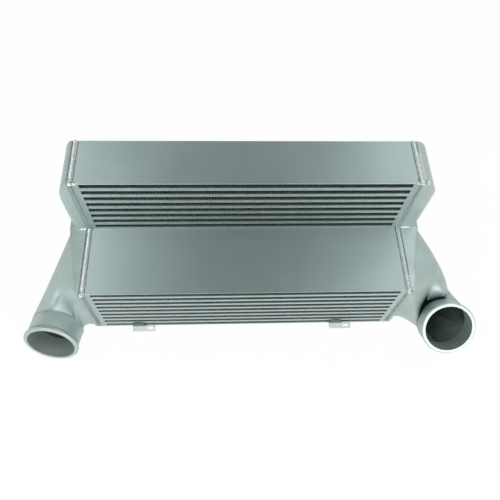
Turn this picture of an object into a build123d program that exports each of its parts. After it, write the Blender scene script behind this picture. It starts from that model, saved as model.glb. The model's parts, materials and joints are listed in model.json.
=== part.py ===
from build123d import *
from collections import namedtuple
from math import cos, hypot, radians, sin
import os

# Stepped bar-and-plate intercooler: a deep lower block and a shallow upper block of charge
# tubes and open fin rows, with a hollow cast tank welded to each end. Millimetres, Z up.
# The origin is the centre of the underside of the bottom plate. The stepped face looks to -Y.

# Core
core_length = 508.0
lower_depth = 190.5
upper_depth = 76.2
lower_rows = 9
upper_rows = 8
fin_height = 9.4
tube_height = 6.3
plate_thickness = 2.5

# Charge tubes
sheet_thickness = 0.6
face_bar_width = 6.0
turbulator_thickness = 0.4
turbulator_pitch = 27.0
turbulator_setback = 4.0

# Open fin rows, closed at both ends by header bars
header_bar_width = 14.5
fin_thickness = 0.4
fin_pitch = 17.2
fin_recess = 1.0

# End tanks: a cap over the upper block and a pan over the lower one
tank_wall = 3.5
cap_lip = 2.0
cap_corner_radius = 9.0
pan_corner_radius = 12.0
pan_lip = 5.0
hood_overlap = 3.0
hood_margin = 1.0
hood_start_radius = 1.5

# Elbow of the hood, between the pan and the neck: how far its inner side stands out from the
# core's end and forward of its front face, and how far back from that face its outer side lies
elbow_inner_reach = 16.0
elbow_inner_forward = 7.7
elbow_outer_back = 54.3
elbow_radius = 30.0
elbow_share = 0.42

# Ports
port_bore_radius = 37.5
neck_shoulder = 0.6
rim_height = 2.3
rim_width = 6.0
rim_chamfer = 1.5
groove_width = 3.0
groove_depth = 1.3

# Each tank: how far its cap, its pan and the outer side of its elbow stand out from the core's
# end and how far down the cap's round shoulder comes. Its port: how far the centre of the mouth
# lies outward of the core's end, forward of its front face and above its underside, the neck's
# straight length, and its angles above level and outward from straight ahead
left_cap_reach = 22.5
left_cap_drop = 75.0
left_pan_reach = 28.0
left_elbow_reach = 59.5
left_port_reach = 59.0
left_port_forward = 49.75
left_port_height = 56.7
left_neck_length = 36.0
left_rise_angle = 15.0
left_turn_angle = 7.0
right_cap_reach = 28.0
right_cap_drop = 50.0
right_pan_reach = 31.0
right_elbow_reach = 74.0
right_port_reach = 70.0
right_port_forward = 45.45
right_port_height = 88.7
right_neck_length = 30.5
right_rise_angle = 48.5
right_turn_angle = -4.2

# Weld bead round each seam, laid mostly on the core's side of it
bead_width = 8.0
bead_height = 1.5
bead_inset = 3.0

# Mounting tabs under the front edge
tab_width = 38.0
tab_reach = 12.0
tab_thickness = 3.0
left_tab_inset = 78.5
right_tab_inset = 86.5
tab_leg_width = 21.0
tab_leg_height = 17.0
tab_slot_length = 11.0
tab_slot_width = 5.5

# Places worked out from the sizes above
half_length = core_length / 2
row_pitch = fin_height + tube_height
front_y = -lower_depth / 2
back_y = lower_depth / 2
step_y = back_y - upper_depth
step_plate_z = plate_thickness + lower_rows * row_pitch - tube_height
shelf_z = step_plate_z + plate_thickness
top_plate_z = step_plate_z + upper_rows * row_pitch
core_height = top_plate_z + plate_thickness
neck_radius = port_bore_radius + tank_wall
rim_radius = neck_radius + rim_height
hood_end_radius = neck_radius + neck_shoulder

Tank = namedtuple("Tank", "cap_side cap_drop pan_side elbow_side mouth length rise turn")
left = Tank(
    half_length + left_cap_reach,
    left_cap_drop,
    half_length + left_pan_reach,
    half_length + left_elbow_reach,
    Vector(half_length + left_port_reach, front_y - left_port_forward, left_port_height),
    left_neck_length,
    radians(left_rise_angle),
    radians(left_turn_angle),
)
right = Tank(
    half_length + right_cap_reach,
    right_cap_drop,
    half_length + right_pan_reach,
    half_length + right_elbow_reach,
    Vector(half_length + right_port_reach, front_y - right_port_forward, right_port_height),
    right_neck_length,
    radians(right_rise_angle),
    radians(right_turn_angle),
)


def box(x0, x1, y0, y1, z0, z1):
    """Box between two opposite corners."""
    middle = Pos((x0 + x1) / 2, (y0 + y1) / 2, (z0 + z1) / 2)
    return middle * Box(x1 - x0, y1 - y0, z1 - z0)


def block_front(upper):
    return step_y if upper else front_y


def fin_row_z(row):
    return plate_thickness + row * row_pitch


def tube_z(tube):
    return plate_thickness + fin_height + tube * row_pitch


def folded_strip(width, height, thickness, pitch):
    """Section of a sheet folded to and fro between z = 0 and z = height."""
    folds = max(2, 2 * round(width / pitch))
    step = width / folds
    lower = [(i * step, (i % 2) * (height - thickness)) for i in range(folds + 1)]
    upper = [(x, z + thickness) for x, z in reversed(lower)]
    return make_face(Polyline(*lower, *upper, close=True).edges())


def side_plate(y0, y1, z):
    return box(-half_length, half_length, y0, y1, z, z + plate_thickness)


def charge_tube(tube):
    """Two sheets on a front and a back face bar, open at both ends."""
    y0 = block_front(tube >= lower_rows - 1)
    z = tube_z(tube)
    shell = box(-half_length, half_length, y0, back_y, z, z + tube_height)
    channel = box(
        -half_length,
        half_length,
        y0 + face_bar_width,
        back_y - face_bar_width,
        z + sheet_thickness,
        z + tube_height - sheet_thickness,
    )
    return shell - channel


def turbulator(tube):
    """Folded strip that fills a charge tube, its folds running along the tube."""
    y0 = block_front(tube >= lower_rows - 1) + face_bar_width
    width = back_y - face_bar_width - y0
    height = tube_height - 2 * sheet_thickness
    length = core_length - 2 * turbulator_setback
    section = folded_strip(width, height, turbulator_thickness, turbulator_pitch)
    place = Plane(
        origin=(-length / 2, y0, tube_z(tube) + sheet_thickness),
        x_dir=(0, 1, 0),
        z_dir=(1, 0, 0),
    )
    return extrude(place * section, length)


def fin_row(row):
    """Folded strip between two header bars, its folds running from front to back."""
    y0 = block_front(row >= lower_rows) + fin_recess
    width = core_length - 2 * header_bar_width
    section = folded_strip(width, fin_height, fin_thickness, fin_pitch)
    place = Plane(
        origin=(-width / 2, back_y - fin_recess, fin_row_z(row)),
        x_dir=(1, 0, 0),
        z_dir=(0, -1, 0),
    )
    return extrude(place * section, back_y - fin_recess - y0)


def header_bars(side):
    """Bars that close one end of every fin row."""
    inner = half_length - header_bar_width
    x0, x1 = sorted((side * inner, side * half_length))
    bars = []
    for row in range(lower_rows + upper_rows):
        z = fin_row_z(row)
        bars.append(box(x0, x1, block_front(row >= lower_rows), back_y, z, z + fin_height))
    return Compound(children=bars)


def rounded_loop(width, height, radius):
    """Rectangle with round corners, drawn as eight edges from the lower end of its +X side."""
    a, b = width / 2 - radius, height / 2 - radius
    corners = ((a, b, 0), (-a, b, 90), (-a, -b, 180), (a, -b, 270))
    edges = []
    start = (a + radius, -b)
    for x, y, angle in corners:
        arc = CenterArc((x, y), radius, angle, 90)
        edges += [Line(start, arc @ 0), arc]
        start = arc @ 1
    return make_face(edges)


def round_loop(radius):
    """Full circle cut into the same eight edges as rounded_loop."""
    flat = 12.0
    edges = []
    for quarter in range(4):
        middle = 90 * quarter
        edges.append(CenterArc((0, 0), radius, middle - flat / 2, flat))
        edges.append(CenterArc((0, 0), radius, middle + flat / 2, 90 - flat))
    return make_face(edges)


def neck_plane(tank):
    """Plane at the root of the straight neck, facing out of the mouth."""
    level = cos(tank.rise)
    axis = Vector(sin(tank.turn) * level, -cos(tank.turn) * level, sin(tank.rise))
    return Plane(tank.mouth - axis * tank.length, x_dir=Vector(0, 0, 1).cross(axis), z_dir=axis)


def slant_plane(x0, y0, x1, y1, z):
    """Upright plane through two places in plan, facing forward and outward."""
    middle = ((x0 + x1) / 2, (y0 + y1) / 2, z)
    return Plane(origin=middle, x_dir=(x1 - x0, y1 - y0, 0), z_dir=(y1 - y0, x0 - x1, 0))


def hood(tank, inset):
    """Skin of the hood from the slanted side of the pan through the elbow to the neck."""
    x0, y0 = half_length + pan_lip, front_y
    x1, y1 = tank.pan_side, step_y
    margin = inset + hood_margin
    start = slant_plane(x0, y0, x1, y1, shelf_z / 2).offset(-hood_overlap - inset)
    start_loop = rounded_loop(hypot(x1 - x0, y1 - y0) - 2 * margin, shelf_z - 2 * margin, hood_start_radius)
    root = neck_plane(tank)
    half_rise = neck_radius * cos(tank.rise)
    bottom = elbow_share * (root.origin.Z - half_rise)
    top = shelf_z - elbow_share * (shelf_z - root.origin.Z - half_rise)
    x2, y2 = half_length + elbow_inner_reach, front_y - elbow_inner_forward
    x3, y3 = tank.elbow_side, front_y + elbow_outer_back
    elbow = slant_plane(x2, y2, x3, y3, (top + bottom) / 2)
    elbow_loop = rounded_loop(hypot(x3 - x2, y3 - y2) - 2 * inset, top - bottom - 2 * inset, elbow_radius - inset)
    sections = (start * start_loop, elbow * elbow_loop, root * round_loop(hood_end_radius - inset))
    return loft([section.face() for section in sections])


def outer_corner(solid, x, y):
    """The upright edge of a solid nearest to a place in plan."""
    upright = solid.edges().filter_by(Axis.Z)
    return upright.sort_by(lambda e: hypot(e.center().X - x, e.center().Y - y))[0]


def pan(tank, inset):
    """Base of the tank over the whole end of the lower block, its front half slanted."""
    outline = Polyline(
        (half_length, front_y + inset),
        (half_length + pan_lip, front_y + inset),
        (tank.pan_side - inset, step_y),
        (tank.pan_side - inset, back_y - inset),
        (half_length, back_y - inset),
        close=True,
    )
    solid = extrude(Pos(0, 0, inset) * make_face(outline.edges()), shelf_z - 2 * inset)
    return fillet(outer_corner(solid, tank.pan_side, back_y), pan_corner_radius - inset)


def cap(tank, inset):
    """Part of the tank over the end of the upper block, with a long round shoulder."""
    low, high = shelf_z - plate_thickness - tank_wall, core_height - inset
    lip, side = half_length + cap_lip, tank.cap_side - inset
    shoulder = high - tank.cap_drop
    front = [
        Line((half_length, low), (side, low)),
        Line((side, low), (side, shoulder)),
        EllipticalCenterArc((lip, shoulder), side - lip, tank.cap_drop, arc_size=90),
        Line((lip, high), (half_length, high)),
        Line((half_length, high), (half_length, low)),
    ]
    depth = upper_depth - 2 * inset
    profile = extrude(Plane.XZ.offset(inset - back_y) * make_face(front), depth)
    plan = box(half_length, side, step_y + inset, back_y - inset, low, high)
    radius = cap_corner_radius - inset
    for y in (step_y, back_y):
        plan = fillet(outer_corner(plan, side, y), radius)
    return profile & plan


def disc(radius, z, height):
    return Pos(0, 0, z) * Cylinder(radius, height, align=(Align.CENTER, Align.CENTER, Align.MIN))


def neck(tank):
    """Straight neck with a groove and a chamfered rim at its mouth."""
    rim_back = tank.length - rim_width
    rim = disc(rim_radius, rim_back, rim_width)
    rim = chamfer(rim.edges().filter_by(GeomType.CIRCLE), rim_chamfer)
    groove_back = rim_back - groove_width
    groove = disc(rim_radius, groove_back, groove_width)
    groove -= disc(neck_radius - groove_depth, groove_back, groove_width)
    return neck_plane(tank) * (extrude(round_loop(neck_radius), tank.length) - groove + rim)


def end_tank(tank):
    """Hollow one-piece tank for the +X end."""
    skin = pan(tank, 0) + cap(tank, 0) + hood(tank, 0) + neck(tank)
    bore = neck_plane(tank) * extrude(round_loop(port_bore_radius), tank.length)
    passage = hood(tank, tank_wall) + bore
    return skin - (pan(tank, tank_wall) + cap(tank, tank_wall) + passage)


def weld_bead():
    """Bead along the seam of the +X end, from the foot of the front over the step to the back."""
    x = half_length - bead_inset
    path = Polyline(
        (x, front_y, 0),
        (x, front_y, shelf_z),
        (x, step_y, shelf_z),
        (x, step_y, core_height),
        (x, back_y, core_height),
        (x, back_y, 0),
    )
    foot = Plane(origin=path @ 0, x_dir=(1, 0, 0), z_dir=(0, 0, 1))
    half = bead_width / 2
    arc = ThreePointArc((-half, 0), (0, -bead_height), (half, 0))
    section = foot * make_face([arc, Line((-half, 0), (half, 0))])
    return sweep(section, path=path, transition=Transition.RIGHT)


def mounting_tab(x):
    """Folded tab with a round-topped leg on the core's face and a slot in its foot."""
    x0, x1 = x - tab_width / 2, x + tab_width / 2
    foot = box(x0, x1, front_y - tab_reach, front_y, 0, tab_thickness)
    leg_radius = tab_leg_width / 2
    leg = box(x0, x0 + tab_leg_width, front_y - tab_thickness, front_y, 0, tab_leg_height)
    tops = leg.edges().filter_by(Axis.Y).sort_by(Axis.Z)[-2:]
    leg = fillet(tops, leg_radius - 1)
    slot_x = (x0 + tab_leg_width + x1) / 2
    slot_y = front_y - tab_reach / 2
    slot = Pos(slot_x, slot_y, 0) * extrude(SlotOverall(tab_slot_length, tab_slot_width), tab_thickness)
    return foot + leg - slot


def write(name, shape):
    shape.label = name
    export_step(shape, f"parts/{name}.step")


os.makedirs("parts", exist_ok=True)
write("bottom_plate", side_plate(front_y, back_y, 0))
write("step_plate", side_plate(front_y, step_y, step_plate_z))
write("top_plate", side_plate(step_y, back_y, top_plate_z))
for tube in range(lower_rows + upper_rows - 1):
    write(f"charge_tube_{tube + 1:02d}", charge_tube(tube))
    write(f"turbulator_{tube + 1:02d}", turbulator(tube))
for row in range(lower_rows + upper_rows):
    write(f"fin_row_{row + 1:02d}", fin_row(row))
write("header_bars_left", header_bars(-1))
write("header_bars_right", header_bars(1))
bead = weld_bead()
left_tank, right_tank = end_tank(left), end_tank(right)
write("left_tank", mirror(left_tank, Plane.YZ))
write("right_tank", right_tank)
write("left_weld", mirror(bead - left_tank, Plane.YZ))
write("right_weld", bead - right_tank)
write("left_tab", mounting_tab(left_tab_inset - half_length))
write("right_tab", mounting_tab(half_length - right_tab_inset))
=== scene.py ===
import json
import math
import random

import bpy
from mathutils import Matrix, Vector
from mathutils.bvhtree import BVHTree


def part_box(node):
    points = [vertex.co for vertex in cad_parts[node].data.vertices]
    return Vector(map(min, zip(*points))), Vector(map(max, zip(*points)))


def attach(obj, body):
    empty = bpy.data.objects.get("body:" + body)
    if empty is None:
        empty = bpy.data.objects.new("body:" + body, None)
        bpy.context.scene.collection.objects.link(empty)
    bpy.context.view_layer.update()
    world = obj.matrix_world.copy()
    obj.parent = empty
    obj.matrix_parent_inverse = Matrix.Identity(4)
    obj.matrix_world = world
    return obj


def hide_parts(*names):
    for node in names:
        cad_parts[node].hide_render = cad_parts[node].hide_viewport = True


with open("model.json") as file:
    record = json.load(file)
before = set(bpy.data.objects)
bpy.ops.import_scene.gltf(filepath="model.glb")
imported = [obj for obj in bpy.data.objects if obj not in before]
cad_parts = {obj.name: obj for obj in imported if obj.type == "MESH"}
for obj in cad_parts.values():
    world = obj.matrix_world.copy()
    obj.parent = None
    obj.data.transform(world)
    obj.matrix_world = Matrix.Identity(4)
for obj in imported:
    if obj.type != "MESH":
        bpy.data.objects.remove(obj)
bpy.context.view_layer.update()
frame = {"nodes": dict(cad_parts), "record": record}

mm = 0.001
samePlace = 1e-6  # metres, below which two places count as one

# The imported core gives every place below. The stepped face and the ports look to -Y, Z is up.
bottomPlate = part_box("bottom_plate")
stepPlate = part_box("step_plate")
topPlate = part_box("top_plate")
coreEnd = bottomPlate[1].x  # half of the core's length
frontFace, backFace = bottomPlate[0].y, bottomPlate[1].y
stepFace = topPlate[0].y
shelfTop, coreTop = stepPlate[1].z, topPlate[1].z
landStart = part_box("header_bars_right")[0].x  # where the fins end and the header bars begin
weldCentre = (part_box("right_weld")[0].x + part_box("right_weld")[1].x) / 2

bpy.ops.object.select_all(action="DESELECT")
random.seed(12)


def linearColour(hexText):
    channels = [int(hexText[i : i + 2], 16) / 255 for i in (1, 3, 5)]
    linear = [c / 12.92 if c <= 0.04045 else ((c + 0.055) / 1.055) ** 2.4 for c in channels]
    return (*linear, 1.0)


def addNode(tree, kind, settings, links=()):
    # Adds a node with its settings, by property or socket, and its links by socket.
    node = tree.nodes.new(kind)
    for key, value in settings.items():
        if isinstance(key, int) or key in node.inputs:
            node.inputs[key].default_value = value
        else:
            setattr(node, key, value)
    for key, source in links:
        tree.links.new(source, node.inputs[key])
    return node


def startMaterial(name):
    material = bpy.data.materials.new(name)
    material.use_nodes = True
    tree = material.node_tree
    tree.nodes.clear()
    place = addNode(tree, "ShaderNodeTexCoord", {})
    return material, tree, place.outputs["Object"]


def layOver(tree, share, channels, finish):
    # Lays a second finish over the metal, as much as the share at each place says.
    channels["Base Color"] = addNode(
        tree,
        "ShaderNodeMix",
        {"data_type": "RGBA", 7: linearColour(finish["colour"])},
        [(0, share), (6, channels["Base Color"])],
    ).outputs[2]
    if "roughness" in finish:
        channels["Roughness"] = addNode(
            tree,
            "ShaderNodeMix",
            {"data_type": "FLOAT", 3: finish["roughness"]},
            [(0, share), (2, channels["Roughness"])],
        ).outputs[0]


# Painted shade: a dark, rougher thin line along both sides of every weld bead, for the shadow in
# the groove beside it, in millimetres.
paintedToeShade = {
    "offset": 4.1,  # from the middle of the bead
    "width": 1.8,
    "fullTo": 0.2,  # shares of the width, where the line starts to fade and where it ends
    "goneAt": 0.75,
    "grain": (0.35, 0.6),  # tones of the grain at which the line is faint and full
    "faintShare": 0.15,
    "share": 0.95,
    "tilt": (0.3, 0.7),  # height of the normal on faces that count as upright and as level
    "uprightShare": 0.15,  # of that, on upright faces, where the bead is dressed
    "colour": "#46534f",
    "roughness": 0.6,
}


def distanceAcross(tree, place, centre):
    # How far a place lies from the nearer of the two planes x = centre and x = -centre.
    axes = addNode(tree, "ShaderNodeSeparateXYZ", {}, [("Vector", place)])
    fromMiddle = addNode(
        tree, "ShaderNodeMath", {"operation": "ABSOLUTE"}, [(0, axes.outputs["X"])]
    )
    pastPlane = addNode(
        tree,
        "ShaderNodeMath",
        {"operation": "SUBTRACT", 1: centre},
        [(0, fromMiddle.outputs[0])],
    )
    return addNode(
        tree, "ShaderNodeMath", {"operation": "ABSOLUTE"}, [(0, pastPlane.outputs[0])]
    ).outputs[0]


# Paints the shade of the grooves beside the weld beads: a dark line a little off each seam,
# broken by the grain and fainter on upright faces.
def paintToeShade(tree, place, fine, channels):
    pastToe = addNode(
        tree,
        "ShaderNodeMath",
        {"operation": "SUBTRACT", 1: paintedToeShade["offset"] * mm},
        [(0, distanceAcross(tree, place, weldCentre))],
    )
    fromToe = addNode(
        tree, "ShaderNodeMath", {"operation": "ABSOLUTE"}, [(0, pastToe.outputs[0])]
    )
    line = addNode(
        tree,
        "ShaderNodeMapRange",
        {
            "interpolation_type": "SMOOTHSTEP",
            "From Min": paintedToeShade["width"] * paintedToeShade["fullTo"] * mm,
            "From Max": paintedToeShade["width"] * paintedToeShade["goneAt"] * mm,
            "To Min": 1.0,
            "To Max": 0.0,
        },
        [("Value", fromToe.outputs[0])],
    )
    broken = addNode(
        tree,
        "ShaderNodeMapRange",
        {
            "From Min": paintedToeShade["grain"][0],
            "From Max": paintedToeShade["grain"][1],
            "To Min": paintedToeShade["faintShare"],
            "To Max": paintedToeShade["share"],
        },
        [("Value", fine)],
    )
    facing = addNode(tree, "ShaderNodeNewGeometry", {})
    axes = addNode(
        tree, "ShaderNodeSeparateXYZ", {}, [("Vector", facing.outputs["Normal"])]
    )
    level = addNode(
        tree,
        "ShaderNodeMapRange",
        {
            "From Min": paintedToeShade["tilt"][0],
            "From Max": paintedToeShade["tilt"][1],
            "To Min": paintedToeShade["uprightShare"],
        },
        [("Value", axes.outputs["Z"])],
    )
    share = line
    for other in (broken, level):
        share = addNode(
            tree,
            "ShaderNodeMath",
            {"operation": "MULTIPLY"},
            [(0, share.outputs[0]), (1, other.outputs[0])],
        )
    layOver(tree, share.outputs[0], channels, paintedToeShade)


# What all the metals share: how their noise is made, and its tones that count as dark and light.
metalGrain = {
    "detail": 3.0,
    "breakUp": 0.55,
    "cloudDetail": 2.0,
    "tones": (0.3, 0.7),
    "edgeSamples": 4,
}


def aluminium(name, look, extra=None):
    darkTone, lightTone = metalGrain["tones"]
    material, tree, place = startMaterial(name)
    grain = addNode(
        tree,
        "ShaderNodeMapping",
        {"Scale": [1000 / length for length in look["grainSize"]]},
        [("Vector", place)],
    )
    fine = addNode(
        tree,
        "ShaderNodeTexNoise",
        {"Scale": 1.0, "Detail": metalGrain["detail"], "Roughness": metalGrain["breakUp"]},
        [("Vector", grain.outputs["Vector"])],
    )
    cloud = addNode(
        tree,
        "ShaderNodeTexNoise",
        {"Scale": 1000 / look["cloudSize"], "Detail": metalGrain["cloudDetail"]},
        [("Vector", place)],
    )
    blend = addNode(
        tree,
        "ShaderNodeMix",
        {"data_type": "FLOAT", 0: look["cloudShare"]},
        [(2, fine.outputs["Fac"]), (3, cloud.outputs["Fac"])],
    )
    tone = addNode(
        tree,
        "ShaderNodeMapRange",
        {"From Min": darkTone, "From Max": lightTone},
        [("Value", blend.outputs[0])],
    )
    colour = addNode(
        tree,
        "ShaderNodeMix",
        {
            "data_type": "RGBA",
            6: linearColour(look["darker"]),
            7: linearColour(look["lighter"]),
        },
        [(0, tone.outputs["Result"])],
    )
    roughness = addNode(
        tree,
        "ShaderNodeMapRange",
        {
            "From Min": darkTone,
            "From Max": lightTone,
            "To Min": look["roughness"] - look["roughnessSpread"],
            "To Max": look["roughness"] + look["roughnessSpread"],
        },
        [("Value", fine.outputs["Fac"])],
    )
    edge = addNode(
        tree,
        "ShaderNodeBevel",
        {"samples": metalGrain["edgeSamples"], "Radius": look["edgeRadius"] * mm},
    )
    relief = addNode(
        tree,
        "ShaderNodeBump",
        {"Strength": 1.0, "Distance": look["reliefDepth"] * mm},
        [("Height", fine.outputs["Fac"]), ("Normal", edge.outputs["Normal"])],
    )
    channels = {
        "Base Color": colour.outputs[2],
        "Roughness": roughness.outputs["Result"],
        "Normal": relief.outputs["Normal"],
    }
    paintToeShade(tree, place, fine.outputs["Fac"], channels)
    if extra:
        extra(tree, place, fine.outputs["Fac"], channels)
    settings = {"Metallic": look["metallic"]}
    if "anisotropy" in look:
        # The rolling lines run along X, so the gloss spreads across them, in Y and Z.
        spread = addNode(tree, "ShaderNodeCombineXYZ", {"Y": 1.0, "Z": 1.0})
        channels["Tangent"] = spread.outputs["Vector"]
        settings["Anisotropic"] = look["anisotropy"]
    shader = addNode(tree, "ShaderNodeBsdfPrincipled", settings, list(channels.items()))
    addNode(tree, "ShaderNodeOutputMaterial", {}, [("Surface", shader.outputs["BSDF"])])
    return material


# Every finish is a bare metal with the default IOR. Sizes are in millimetres, and grainSize is
# the length of one cell of the pattern along X, Y and Z.

# Side plates: satin rolled sheet, so the lamps lie on them as wide soft clouds of light.
rolledSheet = {
    "grainSize": (70.0, 1.6, 1.6),
    "cloudSize": 60.0,
    "cloudShare": 0.5,
    "darker": "#a0b0ae",
    "lighter": "#abbab8",
    "roughness": 0.55,
    "roughnessSpread": 0.02,
    "reliefDepth": 0.002,
    "edgeRadius": 0.7,
    "metallic": 0.9,
    "anisotropy": 0.9,
}

# Face bars and header bars: extruded bar after the brazing oven, brighter, with a dull speckle
# of flux about 1.5 mm across.
extrudedBar = {
    "grainSize": (1.8, 1.4, 1.4),
    "cloudSize": 14.0,
    "cloudShare": 0.3,
    "darker": "#a7b6b4",
    "lighter": "#c2cfcd",
    "roughness": 0.42,
    "roughnessSpread": 0.08,
    "reliefDepth": 0.03,
    "edgeRadius": 0.5,
    "metallic": 1.0,
    "anisotropy": 0.7,
}

# Ends of the bars beside the seam, where flux and spatter have dulled them in spots.
spottedLand = {
    "fade": 2.5,
    "grain": (0.5, 0.64),  # tones of the grain at which a spot starts and is full
    "share": 0.6,
    "colour": "#75837f",
}

# Fins: thin bright foil folded to and fro, lying deep between the tubes; its colours are darker
# than the bars' as painted shade of that depth, over the shade the tubes cast.
finFoilShade = {
    "grainSize": (3.0, 20.0, 3.0),
    "cloudSize": 30.0,
    "cloudShare": 0.5,
    "darker": "#7f908b",
    "lighter": "#9aaaa5",
    "roughness": 0.42,
    "roughnessSpread": 0.05,
    "reliefDepth": 0.01,
    "edgeRadius": 0.1,
    "metallic": 1.0,
}

# Tanks: sand casting blasted with fine beads: an even silky skin with a 1.5 mm pebble,
# faint clouds where the mould's skin differed, and edges dressed to a soft round.
blastedCasting = {
    "grainSize": (1.5, 1.5, 1.5),
    "cloudSize": 26.0,
    "cloudShare": 0.45,
    "darker": "#a4b4b1",
    "lighter": "#bccac8",
    "roughness": 0.52,
    "roughnessSpread": 0.06,
    "reliefDepth": 0.05,
    "edgeRadius": 6.0,
    "metallic": 0.65,
}

# Inside of the tanks: the casting's own rougher skin, which the blasting doesn't reach, coloured
# far darker than the outside as painted shade of the hollow.
rawCastingShade = {
    "grainSize": (2.0, 2.0, 2.0),
    "cloudSize": 18.0,
    "cloudShare": 0.5,
    "darker": "#47524f",
    "lighter": "#5c6764",
    "roughness": 0.62,
    "roughnessSpread": 0.06,
    "reliefDepth": 0.08,
    "edgeRadius": 0.5,
    "metallic": 0.8,
}

# Tabs: folded from galvanised sheet, bright on the foot; the upright leg above it is darkened
# with painted shade, for the shade along the core's bottom edge.
tabSheet = {
    "grainSize": (2.0, 2.0, 2.0),
    "cloudSize": 12.0,
    "cloudShare": 0.4,
    "darker": "#d9e1df",
    "lighter": "#eef3f1",
    "roughness": 0.35,
    "roughnessSpread": 0.05,
    "reliefDepth": 0.01,
    "edgeRadius": 0.5,
    "metallic": 0.05,
}
# Painted shade on the leg: it starts at the first of two heights above the ground and is full at
# the second.
tabLegShade = {"darkFrom": 3.1, "darkFull": 4.2, "colour": "#5b6965", "roughness": 0.55}

# Welds: fresh bright bead laid by hand, each ripple smooth, with dull oxide between them.
weldMetal = {
    "grainSize": (1.1, 1.1, 1.1),
    "cloudSize": 3.0,
    "cloudShare": 0.35,
    "darker": "#8b9995",
    "lighter": "#eaf0ef",
    "roughness": 0.36,
    "roughnessSpread": 0.12,
    "reliefDepth": 0.08,
    "edgeRadius": 0.1,
    "metallic": 0.85,
}

# The last millimetres of a neck are turned on a lathe, with sharper edges than the casting. Each
# pair gives a depth from the mouth and the length over which that fades out.
turnedRim = {
    "turned": (6.0, 0.4),
    "sharp": (10.0, 3.0),
    "edgeRadius": 0.8,
    "colour": "#b4c0bd",
    "roughness": 0.46,
}

ports = {
    name: next(m for m in frame["record"]["mounts"] if m["name"] == name + "_port_bore")
    for name in ("left", "right")
}


def rimFinish(port):
    axis = Vector(port["axis"])
    mouth = Vector(port["pos_m"]) + axis * port["dims"]["length_mm"] * mm / 2

    def extra(tree, place, fine, channels):
        fromMouth = addNode(
            tree,
            "ShaderNodeVectorMath",
            {"operation": "SUBTRACT", 1: mouth},
            [(0, place)],
        )
        height = addNode(
            tree,
            "ShaderNodeVectorMath",
            {"operation": "DOT_PRODUCT", 1: axis},
            [(0, fromMouth.outputs["Vector"])],
        )
        turned, sharp = (
            addNode(
                tree,
                "ShaderNodeMapRange",
                {
                    "interpolation_type": "SMOOTHSTEP",
                    "From Min": -(depth + fade) * mm,
                    "From Max": -depth * mm,
                },
                [("Value", height.outputs["Value"])],
            )
            for depth, fade in (turnedRim["turned"], turnedRim["sharp"])
        )
        layOver(tree, turned.outputs["Result"], channels, turnedRim)
        edge = addNode(
            tree,
            "ShaderNodeBevel",
            {"samples": metalGrain["edgeSamples"], "Radius": turnedRim["edgeRadius"] * mm},
        )
        channels["Normal"] = addNode(
            tree,
            "ShaderNodeMix",
            {"data_type": "VECTOR"},
            [
                (0, sharp.outputs["Result"]),
                (4, channels["Normal"]),
                (5, edge.outputs["Normal"]),
            ],
        ).outputs[1]

    return extra


def landFinish(tree, place, fine, channels):
    landWidth = coreEnd - landStart
    land = addNode(
        tree,
        "ShaderNodeMapRange",
        {
            "interpolation_type": "SMOOTHSTEP",
            "From Min": landWidth - spottedLand["fade"] * mm,
            "From Max": landWidth,
            "To Min": 1.0,
            "To Max": 0.0,
        },
        [("Value", distanceAcross(tree, place, coreEnd))],
    )
    spots = addNode(
        tree,
        "ShaderNodeMapRange",
        {
            "From Min": spottedLand["grain"][0],
            "From Max": spottedLand["grain"][1],
            "To Max": spottedLand["share"],
        },
        [("Value", fine)],
    )
    share = addNode(
        tree,
        "ShaderNodeMath",
        {"operation": "MULTIPLY"},
        [(0, land.outputs["Result"]), (1, spots.outputs["Result"])],
    )
    layOver(tree, share.outputs[0], channels, spottedLand)


# Paints the leg of each tab dark above the foot, as shade, by height.
def paintLegShade(tree, place, fine, channels):
    axes = addNode(tree, "ShaderNodeSeparateXYZ", {}, [("Vector", place)])
    leg = addNode(
        tree,
        "ShaderNodeMapRange",
        {
            "interpolation_type": "SMOOTHSTEP",
            "From Min": tabLegShade["darkFrom"] * mm,
            "From Max": tabLegShade["darkFull"] * mm,
        },
        [("Value", axes.outputs["Z"])],
    )
    layOver(tree, leg.outputs["Result"], channels, tabLegShade)


plateMetal = aluminium("rolledSheetAluminium", rolledSheet)
barMetal = aluminium("extrudedBarAluminium", extrudedBar, landFinish)
insideMetal = aluminium("rawCastAluminiumShaded", rawCastingShade)
tabMetal = aluminium("galvanisedTabSheetShadedLeg", tabSheet, paintLegShade)
finMetal = aluminium("foldedFoilAluminium", finFoilShade)
weldMaterial = aluminium("laidWeldAluminium", weldMetal)
tankMetal = {
    side: aluminium("blastedCastAluminium_" + side, blastedCasting, rimFinish(ports[side]))
    for side in ports
}

for name, node in frame["nodes"].items():
    if name.endswith("_plate"):
        metal = plateMetal
    elif name.endswith("_tab"):
        metal = tabMetal
    elif name.startswith("charge_tube") or name.startswith("header_bars"):
        metal = barMetal
    elif name.endswith("_tank"):
        metal = tankMetal[name.split("_")[0]]
    elif name.endswith("_weld"):
        metal = weldMaterial
    else:
        metal = finMetal
    node.data.materials.clear()
    node.data.materials.append(metal)
print("scene: metals on", len(frame["nodes"]), "CAD nodes")


# Places in the bore and behind it, from which the inside of a tank is looked over, in mm.
lookout = {
    "depths": (3, 18, 33, 48, 60),
    "around": 8,
    "fromAxis": 25,
    "lift": 0.05,  # of the place looked at, above its face
    "fewest": 9,  # lookouts that see a face, because a stray ray can slip between two faces
    "boreSlack": (0.02, 0.1),  # how far off the bore's radius and ends its wall may lie
}


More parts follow.
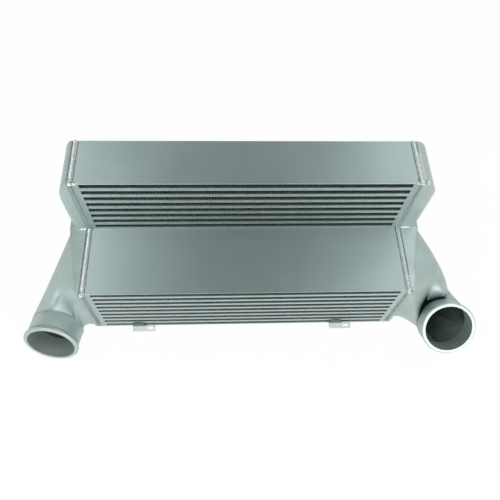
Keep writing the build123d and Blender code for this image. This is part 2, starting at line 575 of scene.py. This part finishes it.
def lookoutPlaces(walls, port):
    axis, middle = Vector(port["axis"]), Vector(port["pos_m"])
    mouth = middle + axis * port["dims"]["length_mm"] * mm / 2
    first = mouth - axis * lookout["depths"][0] * mm
    sideways = axis.orthogonal().normalized() * lookout["fromAxis"] * mm
    places = []
    for depth in lookout["depths"]:
        centre = mouth - axis * depth * mm
        ring = [
            centre + Matrix.Rotation(math.tau * i / lookout["around"], 3, axis) @ sideways
            for i in range(lookout["around"])
        ]
        for place in (centre, *ring):
            way = place - first
            if way.length < samePlace or walls.ray_cast(first, way, way.length)[0] is None:
                places.append(place)
    return places


def insideFaces(mesh, port):
    # The faces that enough lookouts in and behind the bore see, apart from its bored wall.
    axis, middle = Vector(port["axis"]), Vector(port["pos_m"])
    radius, half = port["dims"]["r_mm"] * mm, port["dims"]["length_mm"] * mm / 2
    offRadius, pastEnd = (slack * mm for slack in lookout["boreSlack"])
    walls = BVHTree.FromPolygons(
        [v.co for v in mesh.vertices], [tuple(face.vertices) for face in mesh.polygons]
    )
    lookouts = lookoutPlaces(walls, port)
    inside = []
    for face in mesh.polygons:
        places = [mesh.vertices[v].co for v in face.vertices]
        along = [(p - middle).dot(axis) for p in places]
        radii = [(p - middle - axis * a).length for p, a in zip(places, along)]
        onBore = all(abs(r - radius) < offRadius for r in radii)
        if onBore and max(map(abs, along)) < half + pastEnd:
            continue
        target = face.center + face.normal * lookout["lift"] * mm
        ways = [(place, target - place) for place in lookouts]
        seen = sum(
            way.dot(face.normal) < 0 and walls.ray_cast(place, way, way.length)[0] is None
            for place, way in ways
        )
        if seen >= lookout["fewest"]:
            inside.append(face.index)
    return inside


for side, port in ports.items():
    mesh = frame["nodes"][side + "_tank"].data
    # The faces seen through the bore get the dark inside metal, painted shade of the hollow
    # tank.
    mesh.materials.append(insideMetal)
    inner = insideFaces(mesh, port)
    for index in inner:
        mesh.polygons[index].material_index = 1
    print("scene:", side, "tank,", len(inner), "of", len(mesh.polygons), "faces inside")


def pick(piece):
    bpy.ops.object.select_all(action="DESELECT")
    piece.select_set(True)
    bpy.context.view_layer.objects.active = piece


def settle(piece):
    # The piece's place goes into its mesh, and its object back to the origin.
    pick(piece)
    bpy.ops.object.transform_apply(location=True, rotation=True, scale=True)
    return piece


def applyAll(piece):
    pick(piece)
    for modifier in [m.name for m in piece.modifiers]:
        bpy.ops.object.modifier_apply(modifier=modifier)


def selectEdges(piece, test):
    # In edit mode: only the edges whose middle passes the test are selected.
    bpy.ops.mesh.select_all(action="DESELECT")
    bpy.ops.object.mode_set(mode="OBJECT")
    mesh = piece.data
    for edge in mesh.edges:
        a, b = (mesh.vertices[v].co for v in edge.vertices)
        if test(a, b):
            edge.select = True
            for v in edge.vertices:
                mesh.vertices[v].select = True
    bpy.ops.object.mode_set(mode="EDIT")


def copyPiece(piece, name):
    twin = piece.copy()
    twin.data = piece.data.copy()
    twin.name = twin.data.name = name
    bpy.context.collection.objects.link(twin)
    return twin


def finishPiece(piece, metal, nodes):
    piece.data.materials.clear()
    piece.data.materials.append(metal)
    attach(piece, "root")
    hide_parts(*nodes)


# The real foil of the open fin rows has about four times as many folds as the CAD's strips.
finStrip = {
    "pitch": 4.2,  # one fold out and back
    "crest": 1.1,  # flat top and bottom of a fold, where it is brazed to the tubes
    "foil": 0.25,
    "endGap": 0.2,
    "weld": 0.02,  # under this distance the ends of two folds become one
}


def makeFinStrip(row, name):
    low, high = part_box(row)
    width, height = high.x - low.x - 2 * finStrip["endGap"] * mm, high.z - low.z
    front, back = low.y, high.y
    folds = round(width / (finStrip["pitch"] * mm))
    pitch = width / folds
    crest, foil = finStrip["crest"] * mm, finStrip["foil"] * mm
    slope = pitch / 2 - crest
    drop = height - foil
    bpy.ops.mesh.primitive_plane_add(size=1, location=(0, 0, 0))
    strip = bpy.context.object
    strip.name = strip.data.name = name
    bpy.ops.object.mode_set(mode="EDIT")
    bpy.ops.mesh.select_all(action="SELECT")
    bpy.ops.transform.resize(value=(crest, back - front, 1))
    bpy.ops.transform.translate(value=(crest / 2, 0, 0))
    reach = crest
    for stepX, stepZ in ((slope, -drop), (crest, 0), (slope, drop)):
        selectEdges(strip, lambda a, b: min(a.x, b.x) > reach - samePlace)
        bpy.ops.mesh.extrude_region_move(TRANSFORM_OT_translate={"value": (stepX, 0, stepZ)})
        reach += stepX
    bpy.ops.object.mode_set(mode="OBJECT")
    array = strip.modifiers.new("row", "ARRAY")
    array.count = folds
    array.use_relative_offset = False
    array.use_constant_offset = True
    array.constant_offset_displace = (pitch, 0, 0)
    array.use_merge_vertices = True
    array.merge_threshold = finStrip["weld"] * mm
    sheet = strip.modifiers.new("sheet", "SOLIDIFY")
    sheet.thickness = foil
    sheet.offset = 0.0
    applyAll(strip)
    strip.location = (-width / 2, (front + back) / 2, high.z - foil / 2)
    return settle(strip)


rows = sorted(n for n in frame["nodes"] if n.startswith("fin_row"))
patterns = {}  # strips of one depth are copies of the first
for row in rows:
    low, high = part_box(row)
    depth = round(high.y - low.y, 4)
    if depth not in patterns:
        patterns[depth] = (makeFinStrip(row, "fin_strip_" + row[-2:]), low.z)
        strip = patterns[depth][0]
    else:
        first, firstZ = patterns[depth]
        strip = copyPiece(first, "fin_strip_" + row[-2:])
        strip.location.z = low.z - firstZ
        settle(strip)
    finishPiece(strip, finMetal, [row])
print("scene:", len(rows), "folded fin strips")


weldBead = {
    "halfWidth": 4.0,
    "rise": 1.2,
    "pitch": 3.2,  # from ripple to ripple
    "rippleLength": 2.3,  # half of a ripple along the bead, so they overlap
    "rippleFaces": (12, 7),  # round a ripple and from end to end
    "fewestRipples": 2,
    "lean": 20.0,  # degrees that each ripple leans back on the one before
    "wander": 0.4,
    # Least and most share that one ripple has of its width, length and rise.
    "spread": ((0.9, 1.06), (0.9, 1.1), (0.86, 1.0)),
    "foot": 3.0,  # height above the ground at which the upright runs start
    "dressed": (0.8, 0.3),  # share of width and rise left on the upright runs
    "blended": (0.7, 0.04),  # and beside the upper fins, where it is ground almost flush
    "shelfLine": (0.8, 0.5),  # share of width and rise of the bead between cap and pan
    "shelfStart": 1.0,
    "shelfReach": {"left": 11.0, "right": 17.0},  # how far out that bead runs
    "shelfProud": (-0.6, 0.2),  # where it lies, along Y and Z, off the corner it fills
    "shelfFacing": (0.0, -0.6, 0.8),
    "blob": (5.4, 4.2, 2.6),  # half sizes of a heap where the bead turns a corner
    "blobFineness": 3,
    "blobInset": 2.0,
    "blobProud": 1.3,
    # Heaps at the upper front corner: how far outward of the bead, and their size.
    "cornerHeaps": {
        "left": ((-6.0, 1.0), (0.0, 1.2)),
        "right": ((-4.0, 1.0), (2.5, 1.2), (9.0, 0.9)),
    },
    "stepHeap": (0.0, 1.2),
    "frontHeap": (1.5, 1.2),
}


def makeRipple():
    around, lengthwise = weldBead["rippleFaces"]
    bpy.ops.mesh.primitive_uv_sphere_add(segments=around, ring_count=lengthwise, radius=1)
    ripple = bpy.context.object
    ripple.name = "ripple"
    halfSizes = [weldBead[size] * mm for size in ("halfWidth", "rippleLength", "rise")]
    bpy.ops.object.mode_set(mode="EDIT")
    bpy.ops.mesh.select_all(action="SELECT")
    bpy.ops.transform.resize(value=halfSizes)
    bpy.ops.object.mode_set(mode="OBJECT")
    bpy.ops.object.shade_smooth()
    return ripple


def beadRuns(name, side):
    # Each run: where it starts and ends, which way it faces, and its share of width and rise.
    x = side * weldCentre
    full, dressed, blended = (1.0, 1.0), weldBead["dressed"], weldBead["blended"]
    front, top, back = Vector((0, -1, 0)), Vector((0, 0, 1)), Vector((0, 1, 0))
    foot = weldBead["foot"] * mm
    corners = [
        (frontFace, foot),
        (frontFace, shelfTop),
        (stepFace, shelfTop),
        (stepFace, coreTop),
        (backFace, coreTop),
        (backFace, foot),
    ]
    faces = [(front, dressed), (top, full), (front, blended), (top, full), (back, dressed)]
    places = [Vector((x, y, z)) for y, z in corners]
    runs = [(a, b, *face) for a, b, face in zip(places, places[1:], faces)]
    proudY, proudZ = (proud * mm for proud in weldBead["shelfProud"])
    shelf = [
        Vector((side * (coreEnd + reach * mm), stepFace + proudY, shelfTop + proudZ))
        for reach in (weldBead["shelfStart"], weldBead["shelfReach"][name])
    ]
    runs.append((*shelf, Vector(weldBead["shelfFacing"]), weldBead["shelfLine"]))
    return runs


def layBead(ripple, start, end, facing, share):
    along = (end - start).normalized()
    length = (end - start).length
    count = max(weldBead["fewestRipples"], round(length / (weldBead["pitch"] * mm)))
    lean = Matrix.Rotation(math.radians(weldBead["lean"]), 4, "X")
    turn = Matrix((along.cross(facing), along, facing)).transposed().to_4x4()
    wander = weldBead["wander"] * mm
    laid = []
    for i in range(count):
        place = start + along * (length * (i + 0.5) / count)
        place += along.cross(facing) * random.uniform(-wander, wander)
        wide, long, high = (random.uniform(*ends) for ends in weldBead["spread"])
        size = Matrix.Diagonal((share[0] * wide, long, share[1] * high, 1))
        one = copyPiece(ripple, "ripple")
        one.matrix_world = Matrix.Translation(place) @ turn @ size @ lean
        laid.append(one)
    return laid


def makeBlob(place, turn, share):
    bpy.ops.mesh.primitive_ico_sphere_add(
        subdivisions=weldBead["blobFineness"], radius=1, location=place
    )
    blob = bpy.context.object
    blob.scale = [s * share * mm for s in weldBead["blob"]]
    blob.rotation_euler = (0, 0, turn)
    bpy.ops.object.shade_smooth()
    return blob


def joinAll(parts, name):
    pick(parts[0])
    for part in parts:
        part.select_set(True)
    bpy.ops.object.join()
    piece = bpy.context.object
    piece.name = piece.data.name = name
    return settle(piece)


ripple = makeRipple()
for name, side in (("left", -1), ("right", 1)):
    parts = []
    for run in beadRuns(name, side):
        parts += layBead(ripple, *run)
    heaps = [
        *((stepFace, coreTop, *heap) for heap in weldBead["cornerHeaps"][name]),
        (stepFace, shelfTop, *weldBead["stepHeap"]),
        (frontFace, shelfTop, *weldBead["frontHeap"]),
    ]
    for y, z, outward, share in heaps:
        x = side * (weldCentre + outward * mm)
        inset = y + weldBead["blobInset"] * mm
        lowered = z - (weldBead["blob"][2] * share - weldBead["blobProud"]) * mm
        # Each heap is turned by its own amount, so that no two look alike.
        parts.append(makeBlob((x, inset, lowered), side * outward, share))
    bead = joinAll(parts, name + "_weld_bead")
    finishPiece(bead, weldMaterial, [name + "_weld"])
bpy.data.objects.remove(ripple)
print("scene: weld beads")


photoCamera = {
    "place": (-37.84, -407.50, 879.29),  # mm, in the row frame
    "down": 62.293,  # degrees below level
    "turn": -6.402,
    "roll": 5.166,
    "lens": 37.71,
    "sensor": 36.0,
    "clip": (0.01, 50.0),  # metres
}


def makeCamera():
    data = bpy.data.cameras.new("photoCamera")
    data.sensor_fit = "HORIZONTAL"
    data.sensor_width = photoCamera["sensor"]
    data.lens = photoCamera["lens"]
    data.clip_start, data.clip_end = photoCamera["clip"]
    camera = bpy.data.objects.new("photoCamera", data)
    bpy.context.collection.objects.link(camera)
    turn = Matrix.Rotation(math.radians(photoCamera["turn"]), 4, "Z")
    tilt = Matrix.Rotation(math.radians(90 - photoCamera["down"]), 4, "X")
    roll = Matrix.Rotation(math.radians(photoCamera["roll"]), 4, "Z")
    place = Matrix.Translation([v * mm for v in photoCamera["place"]])
    camera.matrix_world = place @ turn @ tilt @ roll
    bpy.context.scene.camera = camera


makeCamera()


studio = {
    "floorSize": 14.0,  # metres
    "floorDrop": 0.5,  # mm below the part, so that no two faces lie in one plane
    "floorColour": "#f6f7f7",
    "ownLight": 0.95,  # share of the floor's white that is its own, the rest shows shadows
    "zenith": "#969c9b",
    "horizon": "#eef0ef",
    "skyRamp": (0.15, 0.75),  # heights at which the sky leaves the horizon's and is the zenith's
}


def makeFloor():
    bpy.ops.mesh.primitive_plane_add(
        size=studio["floorSize"], location=(0, 0, -studio["floorDrop"] * mm)
    )
    floor = bpy.context.object
    floor.name = "floor"
    material = bpy.data.materials.new("whitePaperSweep")
    material.use_nodes = True
    tree = material.node_tree
    tree.nodes.clear()
    paper = addNode(
        tree, "ShaderNodeBsdfDiffuse", {"Color": linearColour(studio["floorColour"])}
    )
    white = addNode(tree, "ShaderNodeEmission", {"Strength": 1.0})
    ray = addNode(tree, "ShaderNodeLightPath", {})
    seen = ray.outputs["Is Camera Ray"]
    for kind in ("Is Glossy Ray", "Is Transmission Ray"):
        seen = addNode(
            tree,
            "ShaderNodeMath",
            {"operation": "MAXIMUM"},
            [(0, seen), (1, ray.outputs[kind])],
        ).outputs[0]
    share = addNode(
        tree,
        "ShaderNodeMath",
        {"operation": "MULTIPLY", 1: studio["ownLight"]},
        [(0, seen)],
    )
    mix = addNode(
        tree,
        "ShaderNodeMixShader",
        {},
        [(0, share.outputs[0]), (1, paper.outputs[0]), (2, white.outputs[0])],
    )
    addNode(tree, "ShaderNodeOutputMaterial", {}, [("Surface", mix.outputs[0])])
    floor.data.materials.append(material)


def makeWorld():
    world = bpy.data.worlds.new("studio")
    bpy.context.scene.world = world
    world.use_nodes = True
    tree = world.node_tree
    tree.nodes.clear()
    place = addNode(tree, "ShaderNodeTexCoord", {})
    height = addNode(
        tree, "ShaderNodeSeparateXYZ", {}, [("Vector", place.outputs["Generated"])]
    )
    ramp = addNode(
        tree,
        "ShaderNodeMapRange",
        {
            "interpolation_type": "SMOOTHSTEP",
            "From Min": studio["skyRamp"][0],
            "From Max": studio["skyRamp"][1],
        },
        [("Value", height.outputs["Z"])],
    )
    sky = addNode(
        tree,
        "ShaderNodeMix",
        {
            "data_type": "RGBA",
            6: linearColour(studio["horizon"]),
            7: linearColour(studio["zenith"]),
        },
        [(0, ramp.outputs["Result"])],
    )
    light = addNode(
        tree, "ShaderNodeBackground", {"Strength": 1.0}, [("Color", sky.outputs[2])]
    )
    addNode(tree, "ShaderNodeOutputWorld", {}, [("Surface", light.outputs[0])])


softboxes = {
    # name: (place, aim, length of the level side, length of the other side, watts)
    "leftSoftbox": ((-0.95, -0.5, 1.8), (-0.35, -0.4, 0.2), 1.1, 0.6, 12.5),
    "rightSoftbox": ((1.05, 0.5, 1.85), (0.35, 0.5, 0.2), 1.9, 0.7, 10.5),
    "frontLeftSoftbox": ((-0.75, -1.6, 0.9), (-0.2, -0.05, 0.1), 0.6, 0.9, 8.0),
    "frontRightSoftbox": ((0.9, -1.6, 0.8), (0.2, -0.05, 0.1), 0.6, 0.9, 11.5),
}


def makeSoftboxes():
    for name, (place, aim, level, other, watts) in softboxes.items():
        data = bpy.data.lights.new(name, "AREA")
        data.shape = "RECTANGLE"
        data.size, data.size_y = level, other
        data.energy = watts
        lamp = bpy.data.objects.new(name, data)
        bpy.context.collection.objects.link(lamp)
        lamp.location = place
        direction = Vector(aim) - Vector(place)
        lamp.rotation_euler = direction.to_track_quat("-Z", "Y").to_euler()


makeFloor()
makeWorld()
makeSoftboxes()
bpy.context.scene.view_settings.view_transform = "Standard"
print("scene: camera and studio")
